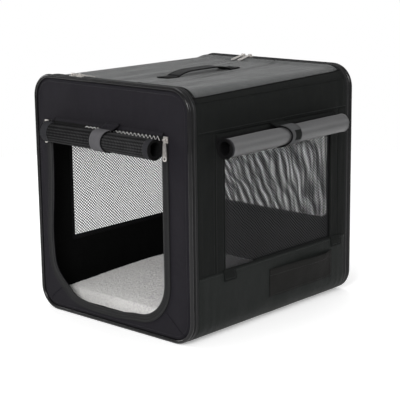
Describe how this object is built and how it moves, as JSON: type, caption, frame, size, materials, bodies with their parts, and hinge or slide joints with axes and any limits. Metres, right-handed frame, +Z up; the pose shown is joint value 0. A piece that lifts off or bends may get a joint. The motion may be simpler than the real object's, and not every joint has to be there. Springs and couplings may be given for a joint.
{
  "type": "folding pet crate",
  "caption": "Soft-sided folding pet crate: fabric box on two steel hoops with folding bars, rolled-up mesh door, net windows in three walls with rolled-up flaps, fleece mat, pocket and carry handle.",
  "frame": {"origin": "on the ground under the middle of the crate, in the middle of the bottom fabric's lower face", "axes": "+Z up; -Y is the way the door faces; +X is the side with the pocket, on the right when looking at the door"},
  "size_m": [0.4328, 0.4938, 0.4144],
  "materials": {
    "black_cloth": "matte woven polyester",
    "front_cloth": "matte woven polyester",
    "lining_cloth": "smooth coated lining",
    "strap_cloth": "webbing",
    "net": "warp-knitted mesh",
    "piping": "bound piping with a slight sheen",
    "zip_tape": "zip tape with nylon coil",
    "fleece": "short off-white pile",
    "board": "stiff plastic board",
    "steel": "powder-coated steel",
    "zip_metal": "polished die-cast",
    "button": "moulded"
  },
  "bodies": {
    "rear_end": {"rear_hoop": "steel", "rear_panel": "black_cloth", "rear_mesh": "net", "rear_flap_roll": "lining_cloth", "rear_flap_strap": "strap_cloth", "rear_piping": "piping", "rear_zip": "zip_tape", "roof_edge_rear": "black_cloth", "side_wall_left": "black_cloth", "side_wall_right": "black_cloth", "side_mesh_left": "net", "side_mesh_right": "net", "flap_roll_left": "lining_cloth", "flap_roll_right": "lining_cloth", "flap_strap_left": "strap_cloth", "flap_strap_right": "strap_cloth", "side_pocket": "black_cloth", "bottom_skin": "black_cloth"},
    "floor_rear": {"floor_board_rear": "board", "floor_bar_rear_left": "steel", "floor_bar_rear_right": "steel", "floor_pin_left": "steel", "floor_pin_right": "steel", "mat": "fleece"},
    "floor_front": {"floor_board_front": "board", "floor_bar_front_left": "steel", "floor_bar_front_right": "steel"},
    "front_end": {"front_hoop": "steel", "front_panel": "front_cloth", "front_piping": "piping", "front_zip": "zip_tape", "roof_edge_front": "black_cloth", "door_zip": "zip_tape", "door_roll": "net", "door_strap": "strap_cloth"},
    "roof_rear": {"roof_panel_rear": "black_cloth", "roof_bar_rear_left": "steel", "roof_bar_rear_right": "steel", "roof_pin_left": "steel", "roof_pin_right": "steel", "handle": "strap_cloth"},
    "roof_front": {"roof_panel_front": "black_cloth", "roof_bar_front_left": "steel", "roof_bar_front_right": "steel"},
    "lock_button_left": {"lock_button_left": "button"},
    "lock_button_right": {"lock_button_right": "button"},
    "door_left_slider": {"door_left_slider": "zip_metal"},
    "door_left_pull": {"door_left_pull": "zip_metal"},
    "door_right_slider": {"door_right_slider": "zip_metal"},
    "door_right_pull": {"door_right_pull": "zip_metal"},
    "front_left_slider": {"front_left_slider": "zip_metal"},
    "front_left_pull": {"front_left_pull": "zip_metal"},
    "front_right_slider": {"front_right_slider": "zip_metal"},
    "front_right_pull": {"front_right_pull": "zip_metal"},
    "rear_left_slider": {"rear_left_slider": "zip_metal"},
    "rear_left_pull": {"rear_left_pull": "zip_metal"},
    "rear_right_slider": {"rear_right_slider": "zip_metal"},
    "rear_right_pull": {"rear_right_pull": "zip_metal"}
  },
  "joints": [
    {"name": "fold", "type": "hinge", "parent": "rear_end", "child": "roof_rear", "pos_m": [0, 0.168, 0.3962], "axis": [1, 0, 0], "range_deg": [0, 85], "deforming": ["side_wall_left", "side_wall_right", "side_mesh_left", "side_mesh_right", "flap_roll_left", "flap_roll_right", "flap_strap_left", "flap_strap_right", "side_pocket", "bottom_skin"]},
    {"name": "roof_crease", "type": "hinge", "parent": "roof_rear", "child": "roof_front", "pos_m": [0, 0, 0.3962], "axis": [-1, 0, 0], "range_deg": [0, 170], "deforming": ["roof_panel_rear", "roof_panel_front", "handle"]},
    {"name": "front_end_pivot", "type": "hinge", "parent": "roof_front", "child": "front_end", "pos_m": [0, -0.168, 0.3962], "axis": [1, 0, 0], "range_deg": [0, 85]},
    {"name": "floor_rear_pivot", "type": "hinge", "parent": "rear_end", "child": "floor_rear", "pos_m": [0, 0.168, 0.0083], "axis": [-1, 0, 0], "range_deg": [0, 85]},
    {"name": "floor_crease", "type": "hinge", "parent": "floor_rear", "child": "floor_front", "pos_m": [0, 0, 0.0083], "axis": [1, 0, 0], "range_deg": [0, 170], "deforming": ["mat"]},
    {"name": "lock_button_left_press", "type": "slide", "parent": "roof_rear", "child": "lock_button_left", "axis": [-1, 0, 0], "range_m": [0, 0.003], "stiffness_N_per_m": 400},
    {"name": "lock_button_right_press", "type": "slide", "parent": "roof_rear", "child": "lock_button_right", "axis": [1, 0, 0], "range_m": [0, 0.003], "stiffness_N_per_m": 400},
    {"name": "door_left_zip", "type": "slide", "parent": "front_end", "child": "door_left_slider", "axis": [0, 0, -1], "range_m": [0, 0.225]},
    {"name": "door_left_pull_swing", "type": "hinge", "parent": "door_left_slider", "child": "door_left_pull", "pos_m": [-0.147, -0.2138, 0.328], "axis": [-1, 0, 0], "range_deg": [0, 165]},
    {"name": "door_right_zip", "type": "slide", "parent": "front_end", "child": "door_right_slider", "axis": [0, 0, -1], "range_m": [0, 0.225]},
    {"name": "door_right_pull_swing", "type": "hinge", "parent": "door_right_slider", "child": "door_right_pull", "pos_m": [0.13, -0.2138, 0.328], "axis": [-1, 0, 0], "range_deg": [0, 165]},
    {"name": "front_left_zip", "type": "slide", "parent": "front_end", "child": "front_left_slider", "axis": [-1, 0, 0], "range_m": [0, 0.04]},
    {"name": "front_left_pull_swing", "type": "hinge", "parent": "front_left_slider", "child": "front_left_pull", "pos_m": [-0.092, -0.1977, 0.4128], "axis": [1, 0, 0], "range_deg": [0, 150]},
    {"name": "front_right_zip", "type": "slide", "parent": "front_end", "child": "front_right_slider", "axis": [1, 0, 0], "range_m": [0, 0.205]},
    {"name": "front_right_pull_swing", "type": "hinge", "parent": "front_right_slider", "child": "front_right_pull", "pos_m": [-0.076, -0.1977, 0.4128], "axis": [1, 0, 0], "range_deg": [0, 150]},
    {"name": "rear_left_zip", "type": "slide", "parent": "rear_end", "child": "rear_left_slider", "axis": [-1, 0, 0], "range_m": [0, 0.072]},
    {"name": "rear_left_pull_swing", "type": "hinge", "parent": "rear_left_slider", "child": "rear_left_pull", "pos_m": [-0.06, 0.1977, 0.4128], "axis": [-1, 0, 0], "range_deg": [0, 150]},
    {"name": "rear_right_zip", "type": "slide", "parent": "rear_end", "child": "rear_right_slider", "axis": [1, 0, 0], "range_m": [0, 0.175]},
    {"name": "rear_right_pull_swing", "type": "hinge", "parent": "rear_right_slider", "child": "rear_right_pull", "pos_m": [-0.044, 0.1977, 0.4128], "axis": [-1, 0, 0], "range_deg": [0, 150]}
  ],
  "couplings": [
    {"joint": "roof_crease", "follows": "fold", "ratio": 2},
    {"joint": "front_end_pivot", "follows": "fold", "ratio": 1},
    {"joint": "floor_rear_pivot", "follows": "fold", "ratio": 1},
    {"joint": "floor_crease", "follows": "fold", "ratio": 2}
  ]
}
